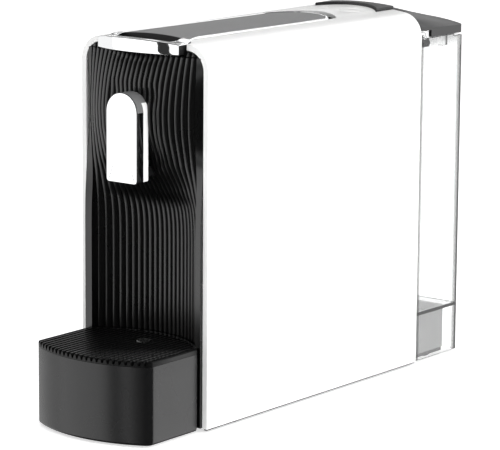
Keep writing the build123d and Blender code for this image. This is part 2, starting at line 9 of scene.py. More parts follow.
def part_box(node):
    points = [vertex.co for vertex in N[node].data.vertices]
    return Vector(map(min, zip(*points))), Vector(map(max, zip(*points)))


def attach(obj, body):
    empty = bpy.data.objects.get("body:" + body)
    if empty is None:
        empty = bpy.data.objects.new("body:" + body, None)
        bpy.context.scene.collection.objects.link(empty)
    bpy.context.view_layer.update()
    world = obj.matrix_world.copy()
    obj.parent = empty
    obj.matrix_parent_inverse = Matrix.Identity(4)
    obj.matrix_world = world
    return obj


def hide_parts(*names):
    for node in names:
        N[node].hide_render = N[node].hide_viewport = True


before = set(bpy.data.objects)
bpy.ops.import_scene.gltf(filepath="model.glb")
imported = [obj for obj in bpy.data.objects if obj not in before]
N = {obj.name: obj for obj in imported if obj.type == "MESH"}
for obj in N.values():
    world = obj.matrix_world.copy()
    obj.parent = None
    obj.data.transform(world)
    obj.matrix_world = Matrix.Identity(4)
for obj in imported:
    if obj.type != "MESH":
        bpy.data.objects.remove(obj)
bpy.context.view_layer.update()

MM = 0.001

# The casing's own box gives the two offsets that every piece is placed from:
# F is its front edge along Y, B its lower edge along Z (both in mm).
_lo, _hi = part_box("outer_shell")
F = _lo.y / MM
B = _lo.z / MM
CASE_L = (_hi.y - _lo.y) / MM

CROWN, CORNER_R, CORNER_Z, HALF = 273.6, 18.0, 252.86, 57.5


# ---------------------------------------------------------------- geometry kit
def arch_z(x, inset=0.0):
    """Height of the casing's arched top, offset inwards, at x (mm above its lower edge)."""
    cx = HALF - CORNER_R
    drop = CROWN - CORNER_Z
    rt = (cx * cx + drop * drop - CORNER_R ** 2) / (2 * (drop - CORNER_R))
    c0 = CROWN - rt
    r, rc = CORNER_R - inset, rt - inset
    ux = cx / (rt - CORNER_R)
    ax = abs(x)
    if ax <= rc * ux:
        return c0 + math.sqrt(rc * rc - ax * ax)
    d = min(max(ax - cx, 0.0), r)
    return CORNER_Z + math.sqrt(max(r * r - d * d, 0.0))


def arc3(p0, pm, p1, n):
    """n+1 points along the arc from p0 through pm to p1."""
    (ax, ay), (bx, by), (cx, cy) = p0, pm, p1
    d = 2 * (ax * (by - cy) + bx * (cy - ay) + cx * (ay - by))
    ux = ((ax ** 2 + ay ** 2) * (by - cy) + (bx ** 2 + by ** 2) * (cy - ay) + (cx ** 2 + cy ** 2) * (ay - by)) / d
    uy = ((ax ** 2 + ay ** 2) * (cx - bx) + (bx ** 2 + by ** 2) * (ax - cx) + (cx ** 2 + cy ** 2) * (bx - ax)) / d
    r = math.hypot(ax - ux, ay - uy)
    a0 = math.atan2(ay - uy, ax - ux)
    am = math.atan2(by - uy, bx - ux)
    a1 = math.atan2(cy - uy, cx - ux)
    tau = 2 * math.pi
    if (am - a0) % tau < (a1 - a0) % tau:
        sweep = (a1 - a0) % tau
    else:
        sweep = -((a0 - a1) % tau)
    return [(ux + r * math.cos(a0 + sweep * k / n), uy + r * math.sin(a0 + sweep * k / n)) for k in range(n + 1)]


def line(p0, p1, n):
    return [(p0[0] + (p1[0] - p0[0]) * k / n, p0[1] + (p1[1] - p0[1]) * k / n) for k in range(n + 1)]


def chain(*runs):
    """Closed outline from runs that meet end to end."""
    pts = []
    for r in runs:
        for p in r:
            if not pts or math.hypot(p[0] - pts[-1][0], p[1] - pts[-1][1]) > 1e-4:
                pts.append(p)
    if math.hypot(pts[0][0] - pts[-1][0], pts[0][1] - pts[-1][1]) < 1e-4:
        pts.pop()
    a = np.array(pts, float)
    area = np.sum(a[:, 0] * np.roll(a[:, 1], -1) - np.roll(a[:, 0], -1) * a[:, 1])
    return a if area > 0 else a[::-1].copy()


def rounded_poly(corners, n=7):
    """Closed outline from (x, y, radius) corners."""
    out = []
    m = len(corners)
    for i in range(m):
        p = np.array(corners[i][:2], float)
        a = np.array(corners[i - 1][:2], float)
        c = np.array(corners[(i + 1) % m][:2], float)
        r = corners[i][2]
        u, v = (a - p) / np.linalg.norm(a - p), (c - p) / np.linalg.norm(c - p)
        half = math.acos(max(-1, min(1, float(u @ v)))) / 2
        if r < 1e-6:
            out.append(tuple(p))
            continue
        t = r / math.tan(half)
        centre = p + (u + v) / np.linalg.norm(u + v) * (r / math.sin(half))
        s, e = p + u * t, p + v * t
        mid = centre + (p - centre) / np.linalg.norm(p - centre) * r
        out += arc3(tuple(s), tuple(mid), tuple(e), n)
    return chain(out)


def normals2(poly):
    e1 = poly - np.roll(poly, 1, 0)
    e2 = np.roll(poly, -1, 0) - poly
    n1 = np.stack([e1[:, 1], -e1[:, 0]], 1) / np.linalg.norm(e1, axis=1)[:, None]
    n2 = np.stack([e2[:, 1], -e2[:, 0]], 1) / np.linalg.norm(e2, axis=1)[:, None]
    m = n1 + n2
    return m / np.maximum(1 + np.sum(n1 * n2, 1), 0.3)[:, None]


def offset(poly, g):
    """Outline grown by g."""
    return poly + g * normals2(poly)


def fillet_steps(r, n=4):
    """(inset, drop) pairs of a quarter round, from the wall to the face."""
    return [(r * (1 - math.cos(math.pi / 2 * k / n)), r * (1 - math.sin(math.pi / 2 * k / n))) for k in range(n + 1)]


def W(p):
    """Casing-frame millimetres to world metres."""
    return ((p[0]) * MM, (F + p[1]) * MM, (B + p[2]) * MM)


def make(name, verts, faces, mats, idx=None, sharp=35.0, world=False):
    me = bpy.data.meshes.new(name)
    me.from_pydata([tuple(v) if world else W(v) for v in verts], [], faces)
    me.validate()
    bm = bmesh.new()
    bm.from_mesh(me)
    bmesh.ops.remove_doubles(bm, verts=bm.verts, dist=1e-7)
    bmesh.ops.recalc_face_normals(bm, faces=bm.faces)
    bm.to_mesh(me)
    bm.free()
    for m in mats:
        me.materials.append(m)
    if idx is not None and len(idx) == len(me.polygons):
        me.polygons.foreach_set("material_index", idx)
    me.polygons.foreach_set("use_smooth", [True] * len(me.polygons))
    me.set_sharp_from_angle(angle=math.radians(sharp))
    ob = bpy.data.objects.new(name, me)
    bpy.context.scene.collection.objects.link(ob)
    return ob


def loft(name, loops, mats, cap0=True, cap1=True, ring=False, sharp=35.0, idx_fn=None):
    """Closed skin through loops of equal length. ring joins the last loop to the first."""
    n = len(loops[0])
    verts = [tuple(p) for lp in loops for p in lp]
    faces = []
    m = len(loops)
    for a in range(m if ring else m - 1):
        b = (a + 1) % m
        for i in range(n):
            j = (i + 1) % n
            faces.append((a * n + i, a * n + j, b * n + j, b * n + i))
    if not ring:
        for on, base in ((cap0, 0), (cap1, (m - 1) * n)):
            if on:
                c = np.mean(np.array(verts[base:base + n]), 0)
                verts.append(tuple(c))
                k = len(verts) - 1
                for i in range(n):
                    faces.append((base + i, base + (i + 1) % n, k))
    idx = None
    if idx_fn is not None:
        idx = [idx_fn(np.mean([verts[i] for i in f], 0)) for f in faces]
    return make(name, verts, faces, mats, idx, sharp)


def ring3(poly, z):
    """2-D plan outline to 3-D points, z a number or a function of (x, y)."""
    return [(p[0], p[1], z(p[0], p[1]) if callable(z) else z) for p in poly]


def slab(name, top, bot, mats, sharp=35.0):
    """Solid between two grids of points with the same layout, closed round the border."""
    nu, nv = len(top), len(top[0])
    verts = [tuple(p) for row in top for p in row] + [tuple(p) for row in bot for p in row]
    o = nu * nv
    faces = []
    for i in range(nu - 1):
        for j in range(nv - 1):
            a, b, c, d = i * nv + j, (i + 1) * nv + j, (i + 1) * nv + j + 1, i * nv + j + 1
            faces.append((a, b, c, d))
            faces.append((o + a, o + d, o + c, o + b))
    for i in range(nu - 1):
        for j in (0, nv - 1):
            a, b = i * nv + j, (i + 1) * nv + j
            faces.append((a, b, o + b, o + a))
    for j in range(nv - 1):
        for i in (0, nu - 1):
            a, b = i * nv + j, i * nv + j + 1
            faces.append((a, b, o + b, o + a))
    return make(name, verts, faces, mats, None, sharp)


def lathe(name, centre, prof, mats, n=48, sharp=35.0):
    """Turned solid about a vertical axis; prof is (radius, z) from bottom to top."""
    loops = []
    for r, z in prof:
        loops.append([(centre[0] + r * math.cos(2 * math.pi * k / n), centre[1] + r * math.sin(2 * math.pi * k / n), z) for k in range(n)])
    return loft(name, loops, mats, sharp=sharp)


# ---------------------------------------------------------------- materials
def shader(name):
    m = bpy.data.materials.new(name)
    m.use_nodes = True
    return m, m.node_tree, m.node_tree.nodes["Principled BSDF"]


def plastic(name, color, rough=0.4, grain=900.0, depth=0.012, var=0.06, rvar=0.05, spec=0.5, metal=0.0, coat=0.0, stretch=(1, 1, 1)):
    """Moulded or finished surface: fine grain in relief, slow drift in tone and roughness."""
    m, t, bs = shader(name)
    n, l = t.nodes, t.links
    tc = n.new("ShaderNodeTexCoord")
    mp = n.new("ShaderNodeMapping")
    mp.inputs["Scale"].default_value = stretch
    l.new(tc.outputs["Object"], mp.inputs["Vector"])
    slow = n.new("ShaderNodeTexNoise")
    slow.inputs["Scale"].default_value = 22.0
    slow.inputs["Detail"].default_value = 3.0
    l.new(mp.outputs["Vector"], slow.inputs["Vector"])
    ramp = n.new("ShaderNodeValToRGB")
    ramp.color_ramp.elements[0].position, ramp.color_ramp.elements[1].position = 0.3, 0.7
    lo = [max(0.0, c * (1 - var)) for c in color[:3]] + [1]
    hi = [min(1.0, c * (1 + var)) for c in color[:3]] + [1]
    ramp.color_ramp.elements[0].color, ramp.color_ramp.elements[1].color = lo, hi
    l.new(slow.outputs["Fac"], ramp.inputs["Fac"])
    l.new(ramp.outputs["Color"], bs.inputs["Base Color"])
    mr = n.new("ShaderNodeMapRange")
    mr.inputs["To Min"].default_value = max(0.02, rough - rvar)
    mr.inputs["To Max"].default_value = min(1.0, rough + rvar)
    fine = n.new("ShaderNodeTexNoise")
    fine.inputs["Scale"].default_value = grain
    fine.inputs["Detail"].default_value = 2.0
    l.new(mp.outputs["Vector"], fine.inputs["Vector"])
    l.new(slow.outputs["Fac"], mr.inputs["Value"])
    l.new(mr.outputs["Result"], bs.inputs["Roughness"])
    if depth > 0:
        bump = n.new("ShaderNodeBump")
        bump.inputs["Strength"].default_value = 1.0
        bump.inputs["Distance"].default_value = depth * MM
        l.new(fine.outputs["Fac"], bump.inputs["Height"])
        l.new(bump.outputs["Normal"], bs.inputs["Normal"])
    bs.inputs["Specular IOR Level"].default_value = spec
    bs.inputs["Metallic"].default_value = metal
    bs.inputs["Coat Weight"].default_value = coat
    bs.inputs["Coat Roughness"].default_value = 0.05
    return m


def brushed(name, color, rough=0.25, stretch=(1, 60, 60)):
    m = plastic(name, color, rough, 220.0, 0.004, 0.05, 0.06, 0.5, 1.0, 0.0, stretch)
    return m


def clear(name, tint, ior=1.49, rough=0.0):
    """Clear moulded plastic with slight wall waviness."""
    m, t, bs = shader(name)
    n, l = t.nodes, t.links
    tc = n.new("ShaderNodeTexCoord")
    ns = n.new("ShaderNodeTexNoise")
    ns.inputs["Scale"].default_value = 26.0
    ns.inputs["Detail"].default_value = 1.0
    l.new(tc.outputs["Object"], ns.inputs["Vector"])
    bump = n.new("ShaderNodeBump")
    bump.inputs["Strength"].default_value = 0.6
    bump.inputs["Distance"].default_value = 0.05 * MM
    l.new(ns.outputs["Fac"], bump.inputs["Height"])
    l.new(bump.outputs["Normal"], bs.inputs["Normal"])
    mr = n.new("ShaderNodeMapRange")
    mr.inputs["To Min"].default_value = rough
    mr.inputs["To Max"].default_value = rough + 0.03
    l.new(ns.outputs["Fac"], mr.inputs["Value"])
    l.new(mr.outputs["Result"], bs.inputs["Roughness"])
    bs.inputs["Base Color"].default_value = (*tint, 1)
    bs.inputs["Transmission Weight"].default_value = 1.0
    bs.inputs["IOR"].default_value = ior
    return m


def clear_tank_painted_shade(name, ob):
    """Clear tank plastic with painted shade: its base colour turns near black where the walls turn a corner and along
    the side walls under the rim.
    """
    m = clear(name, (0.985, 0.99, 0.99))
    t = m.node_tree
    n, l = t.nodes, t.links
    bs = n["Principled BSDF"]
    co = [Vector(v) for v in ob.bound_box]
    lo = Vector([min(c[i] for c in co) for i in range(3)])
    hi = Vector([max(c[i] for c in co) for i in range(3)])
    tc = n.new("ShaderNodeTexCoord")
    sep = n.new("ShaderNodeSeparateXYZ")
    l.new(tc.outputs["Object"], sep.inputs[0])

    def ramp(axis, a, b, va, vb):
        r = n.new("ShaderNodeMapRange")
        r.inputs["From Min"].default_value, r.inputs["From Max"].default_value = a, b
        r.inputs["To Min"].default_value, r.inputs["To Max"].default_value = va, vb
        l.new(sep.outputs[axis], r.inputs["Value"])
        return r.outputs["Result"]

    def both(op, p, q):
        k = n.new("ShaderNodeMath")
        k.operation = op
        l.new(p, k.inputs[0])
        l.new(q, k.inputs[1])
        return k.outputs[0]

    # painted shade: near-black strips at the wall corners and a band under the rim stand in for the darkening seen
    # through the clear walls
    rear = ramp("Y", hi.y - 7.8 * MM, hi.y - 7.0 * MM, 0.0, 0.68)
    front = ramp("Y", lo.y + 6.0 * MM, lo.y + 6.8 * MM, 0.8, 0.0)
    right = ramp("X", hi.x - 3.6 * MM, hi.x - 3.2 * MM, 0.0, 1.0)
    left = ramp("X", lo.x + 3.2 * MM, lo.x + 3.6 * MM, 1.0, 0.0)
    sides = both("MAXIMUM", right, left)
    rim = ramp("Z", hi.z - 16.0 * MM, hi.z - 8.0 * MM, 0.0, 0.55)
    painted_shade_mask = both("MAXIMUM", both("MULTIPLY", both("MAXIMUM", rear, front), sides), both("MULTIPLY", rim, sides))
    mix = n.new("ShaderNodeMix")
    mix.data_type = "RGBA"
    mix.inputs["A"].default_value = (0.985, 0.99, 0.99, 1)
    mix.inputs["B"].default_value = (0.03, 0.03, 0.03, 1)
    l.new(painted_shade_mask, mix.inputs["Factor"])
    l.new([o for o in mix.outputs if o.type == "RGBA"][0], bs.inputs["Base Color"])
    return m


def circuit(name):
    m, t, bs = shader(name)
    n, l = t.nodes, t.links
    tc = n.new("ShaderNodeTexCoord")
    br = n.new("ShaderNodeTexBrick")
    br.inputs["Scale"].default_value = 160.0
    br.inputs["Color1"].default_value = (0.012, 0.085, 0.03, 1)
    br.inputs["Color2"].default_value = (0.02, 0.11, 0.04, 1)
    br.inputs["Mortar"].default_value = (0.08, 0.19, 0.08, 1)
    br.inputs["Mortar Size"].default_value = 0.03
    l.new(tc.outputs["Object"], br.inputs["Vector"])
    l.new(br.outputs["Color"], bs.inputs["Base Color"])
    bs.inputs["Roughness"].default_value = 0.35
    return m


M = {
    "white_gloss": plastic("white_gloss", (0.9, 0.9, 0.895), 0.3, 260.0, 0.004, 0.012, 0.04, 0.25),
    "white_satin": plastic("white_satin", (0.86, 0.86, 0.855), 0.42, 1400.0, 0.012, 0.02),
    "black_matt": plastic("black_matt", (0.014, 0.014, 0.0145), 0.55, 1100.0, 0.02, 0.15),
    "black_satin": plastic("black_satin", (0.012, 0.012, 0.0125), 0.4, 1300.0, 0.015, 0.15),
    "black_gloss": plastic("black_gloss", (0.0018, 0.0018, 0.0019), 0.28, 1500.0, 0.003, 0.15, 0.04, 0.75),
    "dark_grey": plastic("dark_grey", (0.006, 0.006, 0.0063), 0.27, 1700.0, 0.006, 0.12, 0.04, 0.55),
    "grid_black": plastic("grid_black", (0.003, 0.003, 0.0031), 0.34, 1700.0, 0.006, 0.12, 0.04, 0.3),
    "lid_grey": plastic("lid_grey", (0.02, 0.02, 0.021), 0.42, 1500.0, 0.008, 0.08, 0.04, 0.5),
    "grey_satin": plastic("grey_satin", (0.18, 0.18, 0.182), 0.42, 1700.0, 0.008, 0.05, 0.04, 0.5),
    "trim_grey": plastic("trim_grey", (0.17, 0.17, 0.172), 0.38, 1500.0, 0.006, 0.05, 0.04, 0.4),
    "light_grey": plastic("light_grey", (0.3, 0.3, 0.3), 0.45, 1400.0, 0.01, 0.04),
    "float_grey": plastic("float_grey", (0.012, 0.012, 0.012), 0.12, 600.0, 0.002, 0.1, 0.03, 0.6, coat=0.5),
    "rubber": plastic("rubber", (0.02, 0.02, 0.02), 0.75, 900.0, 0.03, 0.2),
    "silicone": plastic("silicone", (0.72, 0.72, 0.69), 0.38, 400.0, 0.02, 0.05),
    "pump_body": plastic("pump_body", (0.62, 0.6, 0.53), 0.5, 800.0, 0.02, 0.08),
    "cast_alu": plastic("cast_alu", (0.55, 0.55, 0.56), 0.42, 500.0, 0.05, 0.1, 0.08, 0.5, 1.0),
    "steel": brushed("steel", (0.56, 0.57, 0.58), 0.26),
    "chrome": plastic("chrome", (0.93, 0.935, 0.94), 0.045, 300.0, 0.0006, 0.01, 0.02, 0.5, 1.0),
    "circuit_board": circuit("circuit_board"),
    "clear_plastic": clear("clear_plastic", (0.985, 0.99, 0.99)),
}

# every carried-over CAD node takes the procedural material of its record slot
for name, ob in N.items():
    slots = [s.material.name if s.material else "" for s in ob.material_slots]
    for i, s in enumerate(ob.material_slots):
        key = (slots[i] or "black_matt").split(".")[0]
        s.material = M.get(key, M["black_matt"])


tank_painted_shade_mat = clear_tank_painted_shade("clear_tank_painted_shade", N["water_tank"])
for s in N["water_tank"].material_slots:
    s.material = tank_painted_shade_mat
print("tank box", [tuple(round(c, 4) for c in v) for v in N["water_tank"].bound_box][::6], N["water_tank"].matrix_world)


def soften(name, width, angle=32.0, seg=3):
    """Breaks the sharp edges of a carried-over node."""
    ob = N[name]
    w = ob.modifiers.new("weld", "WELD")
    w.merge_threshold = 2e-6
    if name not in ("outer_shell",):
        d = ob.modifiers.new("flat", "DECIMATE")
        d.decimate_type = "DISSOLVE"
        d.angle_limit = math.radians(0.6)
    b = ob.modifiers.new("edge", "BEVEL")
    b.width = width * MM
    b.segments = seg
    b.limit_method = "ANGLE"
    b.angle_limit = math.radians(angle)
    b.use_clamp_overlap = True
    b.harden_normals = False
    return ob


# ---------------------------------------------------------------- front fascia
T_TAB = [(2, 0), (60, 0), (100, 0), (125, 0), (138, .01), (148, .05), (156, .13), (163, .27), (170, .40), (179, .60),
         (187, .77), (199, .93), (210, 1.03), (222, 1.06), (241, .97), (253, .85), (262, .72), (272, .60)]
RIB = 4.2775


def bulge(z):
    n = len(T_TAB)
    k = 0
    while k < n - 2 and z > T_TAB[k + 1][0]:
        k += 1
    (z0, t0), (z1, t1) = T_TAB[k], T_TAB[k + 1]

    def slope(i):
        if i <= 0 or i >= n - 1:
            return 0.0
        a = (T_TAB[i][1] - T_TAB[i - 1][1]) / (T_TAB[i][0] - T_TAB[i - 1][0])
        b = (T_TAB[i + 1][1] - T_TAB[i][1]) / (T_TAB[i + 1][0] - T_TAB[i][0])
        return 0.0 if a * b <= 0 else 2 * a * b / (a + b)

    h = z1 - z0
    u = (z - z0) / h
    return ((1 + 2 * u) * (1 - u) ** 2 * t0 + u * (1 - u) ** 2 * h * slope(k)
            + u * u * (3 - 2 * u) * t1 + u * u * (u - 1) * h * slope(k + 1))


def skin_y(x, t):
    if abs(x) >= 47.6:
        # the lower part of the side strips lies flat between the ribs and the casing
        k = max(0.0, 1 - t)
        a, b = curve_y(x, t), curve_y(52.4, t)
        return a + (b - a) * k * 0.85
    return curve_y(x, t)


def curve_y(x, t):
    u = x / 53.0
    yt = -15.0 + 13.46 * u * u + 3.17 * u ** 4
    yb = 20.5 - 17.96 * u * u - 5.37 * u ** 4
    return yb + t * (yt - yb)


def spout_relief(x, z):
    """Shallow hollow in the bulge that lets the spout cover stand free."""
    u = max(0.0, min(1.0, (26.0 - abs(x)) / 10.0))
    v = max(0.0, min(1.0, (z - 176.0) / 20.0)) * max(0.0, min(1.0, (245.0 - z) / 13.0))
    return 2.9 * u * u * (3 - 2 * u) * v * v * (3 - 2 * v)


def rib_profile(x):
    """Depth below the crest surface, 0 on a crest or on the smooth side strips."""
    ax = abs(x)
    if ax >= 47.6:
        e = max(0.0, ax - 52.8)
        return 0.14 * (e / 0.3) ** 2
    s = (ax / RIB) % 1.0 - 0.5
    w = min(abs(s) / 0.5, 1.0)
    return 1.75 * (1 - math.sqrt(max(0.0, 1 - w ** 2.1)) ** 1.0)


def fascia_columns():
    xs = set()
    for k in range(-12, 13):
        for s in (-1, 1):
            base = k * RIB
            for f in (0.0, 0.025, 0.07, 0.14, 0.23, 0.33, 0.42, 0.5):
                x = base + s * f * RIB
                if abs(x) <= 47.4:
                    xs.add(round(x, 4))
    for a in (47.45, 47.65, 48.5, 49.5, 50.5, 51.5, 52.3, 52.6, 52.85, 53.1):
        xs.add(a)
        xs.add(-a)
    for a in (37.8, 38.1):
        xs.add(a)
        xs.add(-a)
    return sorted(xs)


def fascia_piece():
    xs = fascia_columns()
    fz0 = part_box("front_fascia")[0].z / MM - B
    zs = [fz0, fz0 + 0.4, fz0 + 1.2] + list(np.arange(8.0, 124.0, 6.0)) + list(np.arange(124.0, 262.0, 2.5)) + [262.3, 262.9]
    top, bot = [], []
    for x in xs:
        a, b = [], []
        for k, z in enumerate(zs):
            lip = 0.7 * max(0.0, 1 - (262.9 - z) / 0.8) ** 2 + 0.5 * max(0.0, 1 - (z - fz0) / 0.8) ** 2
            y = skin_y(x, bulge(z)) + spout_relief(x, z)
            a.append((x, y + rib_profile(x) + lip, z))
            b.append((x, y + 2.6 + 0.25 * rib_profile(x), z))
        top.append(a)
        bot.append(b)
    return slab("front_fascia_ribbed", top, bot, [M["black_gloss"]], 50.0)


fascia = fascia_piece()
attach(fascia, "service_unit")
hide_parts("front_fascia")


def shoulders():
    verts, faces = [], []
    for s in (-1, 1):
        xs = [x for x in fascia_columns() if x * s >= 37.79 and arch_z(x, 4.4) > 263.05]
        xs = sorted(xs)
        nz, q = 6, 7
        base, nx = len(verts), len(xs)
        for layer in (0, 1):
            for x in xs:
                ztop = arch_z(x, 4.4)
                for k in range(nz + 1):
                    z = 262.95 + (ztop - 262.95) * k / nz
                    y = skin_y(x, bulge(z))
                    lip = 0.6 * max(0.0, 1 - (ztop - z) / 0.7) ** 2
                    verts.append((x, (y + rib_profile(x) + lip) if layer == 0 else y + 2.6, z))
        o = nx * q
        for i in range(nx - 1):
            for j in range(nz):
                a, b, c, d = base + i * q + j, base + (i + 1) * q + j, base + (i + 1) * q + j + 1, base + i * q + j + 1
                faces.append((a, b, c, d))
                faces.append((o + a, o + d, o + c, o + b))
            for j in (0, nz):
                a, b = base + i * q + j, base + (i + 1) * q + j
                faces.append((a, b, o + b, o + a))
        for j in range(nz):
            for i in (0, nx - 1):
                a, b = base + i * q + j, base + i * q + j + 1
                faces.append((a, b, o + b, o + a))
    ob = make("fascia_shoulders_ribbed", verts, faces, [M["black_gloss"]], None, 50.0)
    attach(ob, "service_unit")
    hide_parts("fascia_shoulders")
    return ob


if "fascia_shoulders" in N:
    shoulders()


# ---------------------------------------------------------------- spout cover
def spout():
    lo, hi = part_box("spout_cover")
    yf, yr = lo.y / MM - F, hi.y / MM - F
    z0, z1 = lo.z / MM - B, hi.z / MM - B
    w = hi.x / MM
    r = 2.6
    arch = chain(
        [(-w + r, z0)], line((-w + r, z0), (w - r, z0), 12), arc3((w - r, z0), (w - r + r * .7071, z0 + r - r * .7071), (w, z0 + r), 6),
        line((w, z0 + r), (w, z1 - w), 40), arc3((w, z1 - w), (0, z1), (-w, z1 - w), 64),
        line((-w, z1 - w), (-w, z0 + r), 40), arc3((-w, z0 + r), (-w + r - r * .7071, z0 + r - r * .7071), (-w + r, z0), 6))
    steps = fillet_steps(0.7, 4)

    def lp(g, y):
        o = offset(arch, g)
        return [(p[0], y, p[1]) for p in o]

    rear = yr - 1.4
    ys = [yf + 0.7, yf + 2.5, yf + 4.7, -17.3, -15.5, -13.9, rear]
    loops = [lp(-3.0, yf), lp(-1.4, yf)]
    loops += [lp(-i, yf + d) for i, d in reversed(steps)]
    loops += [lp(0, y) for y in ys[1:]]
    loops += [lp(-2.4, rear), lp(-2.4, yf + 2.4)]

    def idx(c):
        # painted reflection: a white band along the rear of the sides and a satin grey band over the arch stand in for
        # the studio reflected in the chrome
        x, y, z = c
        zc = z1 - w
        rad = math.hypot(x, z - zc) if z > zc else abs(x)
        ang = math.degrees(math.atan2(z - zc, abs(x))) if z > zc else 0.0
        if rad < w - 0.25 or z < z0 + 1.2 or y > rear - 0.01:
            return 0
        if y > -17.3:
            return 1 if ang < 30.0 else 2
        return 2 if y > yf + 0.6 and z > zc + 1.0 else 0

    # the white_gloss and trim_grey slots on this chrome piece are painted reflections
    ob = loft("spout_cover_chrome", loops, [M["chrome"], M["white_gloss"], M["trim_grey"]], True, True, False, 40.0, idx)
    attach(ob, "service_unit")
    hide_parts("spout_cover")
    return ob


spout()


# ---------------------------------------------------------------- lever
def lever_outer():
    lw, ww = 36.5, 29.5
    fl = []
    for k in range(17):
        t = k / 16
        # flare from the wide front bar to the narrow sides
        y = 2.0 + 24.0 * t
        s = t * t * (3 - 2 * t)
        fl.append((lw - (lw - ww) * s ** 0.72, y))
    right = [(lw, -6.5), (lw, -3.0), (lw, 2.0)]
    return (arc3((-lw, -6.5), (0, -14.0), (lw, -6.5), 48), right, fl, line((ww, 26), (ww, 177), 30), arc3((ww, 177), (0, 195), (-ww, 177), 48))


def lever_inner():
    fl = []
    for k in range(17):
        t = k / 16
        fl.append((26.2 + 1.0 * min(1.0, t * 1.6), -1.0 + 27.0 * t))
    right = [(26.2, -3.6), (26.2, -2.4), (26.2, -1.0)]
    return (arc3((-26.2, -3.6), (0, -7.4), (26.2, -3.6), 48), right, fl, line((27.2, 26), (27.2, 175.5), 30), arc3((27.2, 175.5), (0, 192.6), (-27.2, 175.5), 48))


def mirror_chain(parts):
    """The same number of points for both outlines, so that they pair up."""
    front, right, flare, side, rear = parts
    pts = list(front) + right[1:] + flare[1:] + side[1:] + list(rear)[1:]
    left = [(-x, y) for x, y in reversed(side[:-1])] + [(-x, y) for x, y in reversed(flare[:-1])] + [(-x, y) for x, y in reversed(right[1:-1])]
    return np.array(pts + left, float)


def lever_z(x, y, rise):
    """Top of the lever: flush with the casing at the front bar, proud of it behind the finger hole."""
    t = min(1.0, max(0.0, (y - 2.2) / 7.0))
    t = t * t * (3 - 2 * t)
    extra = max(0.0, rise - (max(y, 11.0) - 11.0) * 0.00761)
    return arch_z(x, -extra * t) - 0.02


def lever_frame():
    out, inn = mirror_chain(lever_outer()), mirror_chain(lever_inner())
    assert len(out) == len(inn)
    lo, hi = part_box("lever_frame")
    zb = lo.z / MM - B
    ro, ri = 0.8, 0.55

    rise = hi.z / MM - B - CROWN

    def crown(x, y):
        return lever_z(x, y, rise)

    loops = []
    loops.append(ring3(offset(out, -0.5), zb))
    loops.append(ring3(offset(out, -0.15), zb + 0.15))
    loops.append(ring3(out, zb + 0.5))
    for k in (0.25, 0.5, 0.75):
        loops.append([(p[0], p[1], (zb + 0.5) + (crown(*p) - ro - zb - 0.5) * k) for p in out])
    for i, d in fillet_steps(ro, 5):
        o = offset(out, -i)
        loops.append([(p[0], p[1], crown(*p) - d) for p in o])
    oi = offset(inn, ri)
    oo = offset(out, -ro)
    for k in (0.35, 0.7):
        mid = oo + (oi - oo) * k
        loops.append([(p[0], p[1], crown(*p)) for p in mid])
    for i, d in reversed(fillet_steps(ri, 4)):
        o = offset(inn, i)
        loops.append([(p[0], p[1], crown(*p) - d) for p in o])
    loops.append([(p[0], p[1], zb + 0.3) for p in inn])
    loops.append([(p[0], p[1], zb) for p in offset(inn, 0.3)])
    def idx(c):
        # the end faces of the front bar and the wall of the finger hole are black
        x, y, z = c
        if abs(x) > 36.35 and -6.2 < y < 3.0 and z < crown(x, y) - 0.9:
            return 1
        if abs(x) < 27.0 and 8.0 > y > -11.0 and z < crown(x, y) - 0.7 and abs(y - (-7.4 + 3.8 * (x / 26.2) ** 2)) < 0.6:
            return 1
        return 0

    ob = loft("lever_frame_chrome", loops, [M["chrome"], M["black_satin"]], ring=True, sharp=50.0, idx_fn=idx)
    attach(ob, "lever")
    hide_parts("lever_frame")
    return ob


lever_frame()


def lever_insert():
    lo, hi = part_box("lever_insert")
    zb = lo.z / MM - B
    w = hi.x / MM - 0.05
    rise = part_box("lever_frame")[1].z / MM - B - CROWN
    top, bot = [], []
    us = [math.sin(math.pi / 2 * k / 24) for k in range(-24, 25)]
    rear = arc3((27.2, 175.5), (0, 192.6), (-27.2, 175.5), 200)
    rx = np.array([p[0] for p in rear][::-1])
    ry = np.array([p[1] for p in rear][::-1])
    for u in us:
        x = u * w
        y1 = float(np.interp(x, rx, ry)) - 0.15
        y0 = 11.5 - 1.5 * (x / 27.2) ** 2 + 0.05
        rt, rb = [], []
        vs = [0, 0.002, 0.005, 0.01] + list(np.linspace(0.03, 0.97, 30)) + [0.985, 0.993, 0.997, 1]
        for v in vs:
            y = y0 + (y1 - y0) * v
            edge = min(y - y0, y1 - y, (w - abs(x)) * 1.0)
            round_off = 0.55 * (1 - min(1.0, max(0.0, edge) / 0.9)) ** 2.0
            rt.append((x, y, lever_z(x, y, rise) - 0.42 - round_off))
            rb.append((x, y, zb))
        top.append(rt)
        bot.append(rb)
    ob = slab("lever_insert_satin", top, bot, [M["grey_satin"], M["black_satin"]], 45.0)
    for p in ob.data.polygons:
        # the wall that faces the finger hole is black
        if p.normal.y < -0.6:
            p.material_index = 1
    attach(ob, "lever")
    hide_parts("lever_insert")
    return ob


lever_insert()


# ---------------------------------------------------------------- drip tray and grid
def tray_plan():
    w = 52.0
    rf = (52.0 ** 2 + 14.5 ** 2) / 29.0
    yc = -70.0 + rf
    cy = yc - math.sqrt((rf - 7) ** 2 - 45.0 ** 2)
    k = rf / (rf - 7)
    tx, ty = 45.0 * k, yc + (cy - yc) * k
    mid = ((45 + 7 * math.cos(math.atan2(ty - cy, tx - 45) / 2)), cy + 7 * math.sin(math.atan2(ty - cy, tx - 45) / 2))
    return chain(
        arc3((-tx, ty), (0, -70), (tx, ty), 72),
        arc3((tx, ty), mid, (w, cy), 10),
        line((w, cy), (w, -4.4), 12),
        arc3((w, -4.4), (0, 18.8), (-w, -4.4), 48),
        line((-w, -4.4), (-w, cy), 12),
        arc3((-w, cy), (-mid[0], mid[1]), (-tx, ty), 10))


